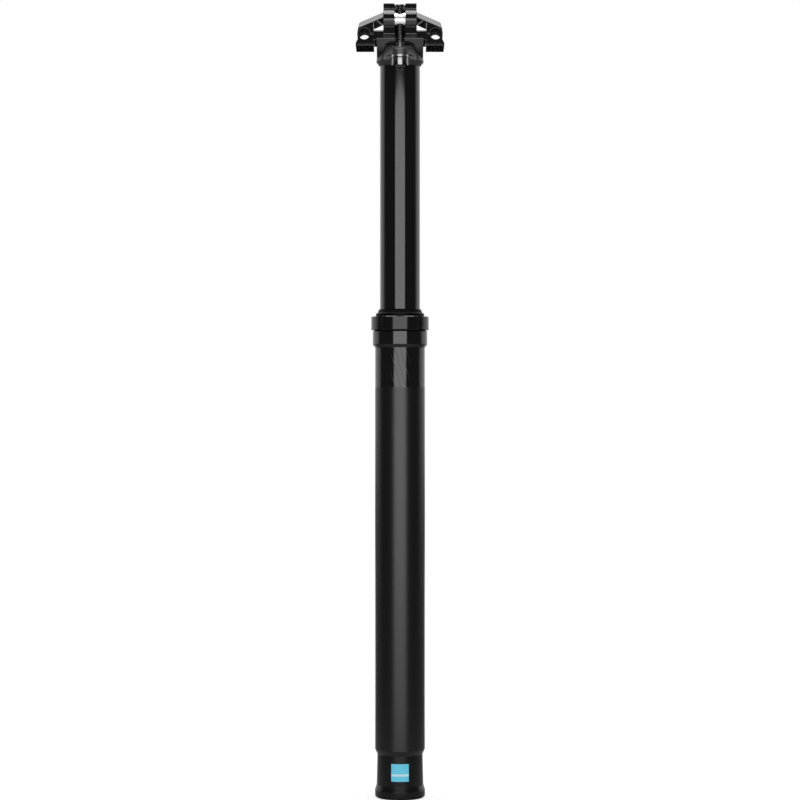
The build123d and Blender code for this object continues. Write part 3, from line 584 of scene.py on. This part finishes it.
def socket_screw(name, low, high):
    """A screw that stands in the box from low to high with its head down."""
    middle = (low + high) / 2
    head_radius = (high.x - low.x) / 2
    head_top = low.z + bolt_head_height
    thread_foot = high.z - thread_length
    chamfer_middle = head_chamfer * chamfer_middle_share
    angles = [2 * pi * step / bolt_segments for step in range(bolt_segments + 1)]
    body = bmesh.new()

    def row(radii, heights):
        """One round of points, with a radius and a height for each angle."""
        points = zip(angles, radii, heights)
        return [
            body.verts.new((middle.x + r * cos(a), middle.y + r * sin(a), h))
            for a, r, h in points
        ]

    def level(radius, height):
        """A flat, round row."""
        return row([radius] * len(angles), [height] * len(angles))

    hexagon = [hexagon_radius(a) for a in angles]
    rows = [
        level(0.0, low.z + socket_cone_depth),
        row(hexagon, [low.z + socket_depth] * len(angles)),
        row(hexagon, [low.z + head_chamfer] * len(angles)),
        level(socket_entry_radius, low.z),
        level(head_radius - head_chamfer, low.z),
        level(head_radius - chamfer_middle, low.z + chamfer_middle),
        level(head_radius, low.z + head_chamfer),
        level(head_radius, head_top - head_chamfer),
        level(head_radius - head_chamfer, head_top),
        level(bolt_shank_radius, head_top),
        level(bolt_shank_radius, thread_foot),
    ]
    # The thread runs in at its foot and ends in a chamfer at its tip
    turns = int(thread_length / thread_pitch) + 2
    for count in range(turns):
        for share, rise in thread_profile_shares:
            heights = [
                thread_foot + thread_pitch * (count + share + a / (2 * pi) - 1)
                for a in angles
            ]
            radii = []
            for height in heights:
                depth = (bolt_shank_radius - thread_root_radius) * (1 - rise)
                depth *= min(max((height - thread_foot) / thread_pitch, 0), 1)
                top = bolt_shank_radius - head_chamfer + max(high.z - height, 0)
                radii.append(min(bolt_shank_radius - depth, top))
            rows.append(row(radii, [min(max(h, thread_foot), high.z) for h in heights]))
    rows.append(level(bolt_shank_radius - head_chamfer, high.z))
    rows.append(level(0.0, high.z))
    for lower, upper in zip(rows, rows[1:]):
        for left in range(bolt_segments):
            body.faces.new((lower[left], lower[left + 1], upper[left + 1], upper[left]))
    bmesh.ops.remove_doubles(body, verts=body.verts, dist=weld_distance)
    return finished_piece(name, body, bolt_crease_degrees)


bolt_steel = bare_metal(
    "stainless_bolt_steel", (0.25, 0.25, 0.255), smoothest=0.12, roughest=0.20, lines=1e-6
)
for side in ("front", "rear"):
    node = side + "_bolt"
    low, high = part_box(node)
    high.z -= tip_below_crown
    screw = socket_screw(side + "_socket_screw", low, high)
    screw.data.materials.append(bolt_steel)
    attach(screw, side + "_screw")
    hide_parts(node)


# Studio: a white floor that keeps a soft shadow near the foot, a white background,
# a wide softbox behind the camera, a soft light overhead and a wall of light behind
# the object.

look_height = 0.2458
camera_distance = 1.43
picture_height = 0.496
floor_reach = 6.0
floor_grey = (0.3, 0.3, 0.3)
no_colour = (0.0, 0.0, 0.0)
floor_glow = 0.65
shadow_reach = 0.06
white_reach = 0.42
strip_inner_slope = 0.45
strip_outer_slope = 0.65
strip_start = 1.6
strip_end = 2.4
strip_glow = 1.1
beside_glow = 0.12
front_light = 0.08
wall_low_slope = 0.10
wall_high_slope = 0.35

floor_mesh = bpy.data.meshes.new("floor")
corners = [(-floor_reach, -floor_reach, 0), (floor_reach, -floor_reach, 0),
           (floor_reach, floor_reach, 0), (-floor_reach, floor_reach, 0)]
floor_mesh.from_pydata(corners, [], [(0, 1, 2, 3)])
floor = bpy.data.objects.new("floor", floor_mesh)
bpy.context.scene.collection.objects.link(floor)
white, tree, shader = new_finish("floor_white", floor_grey, roughness=0.9)
shader.inputs["Specular IOR Level"].default_value = 0.0
shader.inputs["Emission Color"].default_value = (1, 1, 1, 1)
x, y, _ = own_place(tree)
away = calculate(
    tree, "SQRT", calculate(tree, "MULTIPLY_ADD", x, x, calculate(tree, "MULTIPLY", y, y))
)
far = ramp(tree, away, shadow_reach, white_reach, kind="SMOOTHSTEP")
tree.links.new(coloured_mix(tree, far, floor_grey, no_colour), shader.inputs["Base Color"])
shown = calculate(tree, "MULTIPLY_ADD", far, 1 - floor_glow, floor_glow)
# Seen in the gloss black, the floor is a pale strip that runs to the front and back
aside = calculate(tree, "DIVIDE", calculate(tree, "ABSOLUTE", x), calculate(tree, "ABSOLUTE", y))
strip = ramp(tree, aside, strip_outer_slope, strip_inner_slope)
near = ramp(tree, away, strip_end, strip_start)
pale = calculate(tree, "MULTIPLY_ADD", strip, strip_glow, beside_glow)
mirrored = calculate(tree, "MULTIPLY", calculate(tree, "MULTIPLY", pale, near), far)
seen = tree.nodes.new("ShaderNodeLightPath").outputs["Is Camera Ray"]
tree.links.new(value_mix(tree, seen, mirrored, shown), shader.inputs["Emission Strength"])
floor_mesh.materials.append(white)
floor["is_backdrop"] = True


def softbox(name, place, target, size, radiance):
    """A rectangular area light that faces a target. Its power follows its radiance."""
    light = bpy.data.lights.new(name, "AREA")
    light.shape = "RECTANGLE"
    light.size, light.size_y = size
    light.energy = radiance * pi * size[0] * size[1]
    lamp = bpy.data.objects.new(name, light)
    lamp.location = place
    lamp.rotation_euler = (Vector(target) - Vector(place)).to_track_quat("-Z", "Y").to_euler()
    lamp.visible_camera = False
    bpy.context.scene.collection.objects.link(lamp)


softbox(
    "front_softbox", place=(0, -1.5, 0.338), target=(0, 0, 0.338), size=(1.6, 0.62), radiance=3.5
)
softbox(
    "overhead_softbox", place=(0, -0.1, 1.5), target=(0, 0, 0.3), size=(1.2, 1.0), radiance=6.5
)

world = bpy.data.worlds.new("studio")
bpy.context.scene.world = world
world.use_nodes = True
tree = world.node_tree
tree.nodes.clear()
output = tree.nodes.new("ShaderNodeOutputWorld")
rays = tree.nodes.new("ShaderNodeLightPath")
place = tree.nodes.new("ShaderNodeTexCoord")
direction = tree.nodes.new("ShaderNodeSeparateXYZ")
tree.links.new(place.outputs["Generated"], direction.inputs[0])
behind = ramp(tree, direction.outputs["Y"], wall_low_slope, wall_high_slope)
studio_light = calculate(tree, "MULTIPLY_ADD", behind, 1 - front_light, front_light)
strength = calculate(tree, "MAXIMUM", studio_light, rays.outputs["Is Camera Ray"])
background = tree.nodes.new("ShaderNodeBackground")
background.inputs["Color"].default_value = (1, 1, 1, 1)
tree.links.new(strength, background.inputs["Strength"])
tree.links.new(background.outputs[0], output.inputs["Surface"])

camera = bpy.data.objects.new("camera", bpy.data.cameras.new("camera"))
camera.location = (0, -camera_distance, look_height)
camera.rotation_euler = (radians(90), 0, 0)
camera.data.angle = 2 * atan(picture_height / 2 / camera_distance)
camera.data.clip_start = 0.01
bpy.context.scene.collection.objects.link(camera)
bpy.context.scene.camera = camera
bpy.context.scene.view_settings.view_transform = "Standard"

low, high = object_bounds()
